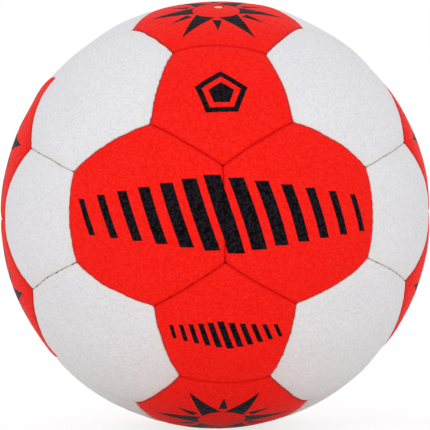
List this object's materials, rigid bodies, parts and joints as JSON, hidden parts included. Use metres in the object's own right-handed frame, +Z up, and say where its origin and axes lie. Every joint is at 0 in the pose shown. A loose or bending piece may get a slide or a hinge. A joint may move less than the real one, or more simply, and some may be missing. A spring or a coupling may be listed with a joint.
{
  "type": "handball",
  "caption": "Sewn sports ball of hexagonal and pentagonal grained panels over a rubber bladder, with a needle valve in a top panel.",
  "frame": {"origin": "the ball's centre", "axes": "+Z up, through the seam between the two top hexagons; -Y towards the front, through the upright seam between the two front hexagons; the valve leans 17.5 degrees from +Z to the front"},
  "size_m": [0.1742, 0.1742, 0.1742],
  "materials": {
    "cover_red": "soft matte grained synthetic leather, red",
    "cover_white": "soft matte grained synthetic leather, white",
    "backing_cloth": "laminated cotton and polyester cloth",
    "seam_thread": "waxed twisted thread",
    "bladder_rubber": "smooth dusted butyl rubber",
    "valve_rubber": "moulded rubber",
    "plug_rubber": "cream silicone rubber"
  },
  "bodies": {
    "root": {"front_left_hexagon": "cover_red", "front_right_hexagon": "cover_red", "back_left_hexagon": "cover_red", "back_right_hexagon": "cover_red", "top_front_hexagon": "cover_red", "top_back_hexagon": "cover_red", "bottom_front_hexagon": "cover_red", "bottom_back_hexagon": "cover_red", "left_upper_hexagon": "cover_red", "left_lower_hexagon": "cover_red", "right_upper_hexagon": "cover_red", "right_lower_hexagon": "cover_red", "upper_front_left_hexagon": "cover_white", "upper_front_right_hexagon": "cover_white", "upper_back_left_hexagon": "cover_white", "upper_back_right_hexagon": "cover_white", "lower_front_left_hexagon": "cover_white", "lower_front_right_hexagon": "cover_white", "lower_back_left_hexagon": "cover_white", "lower_back_right_hexagon": "cover_white", "front_upper_pentagon": "cover_red", "front_lower_pentagon": "cover_red", "back_upper_pentagon": "cover_red", "back_lower_pentagon": "cover_red", "top_left_pentagon": "cover_white", "top_right_pentagon": "cover_white", "bottom_left_pentagon": "cover_white", "bottom_right_pentagon": "cover_white", "left_front_pentagon": "cover_white", "right_front_pentagon": "cover_white", "left_back_pentagon": "cover_white", "right_back_pentagon": "cover_white", "hexagon_backings": "backing_cloth", "pentagon_backings": "backing_cloth", "seam_threads": "seam_thread", "bladder": "bladder_rubber", "valve_housing": "valve_rubber", "valve_plug": "plug_rubber"}
  },
  "joints": []
}
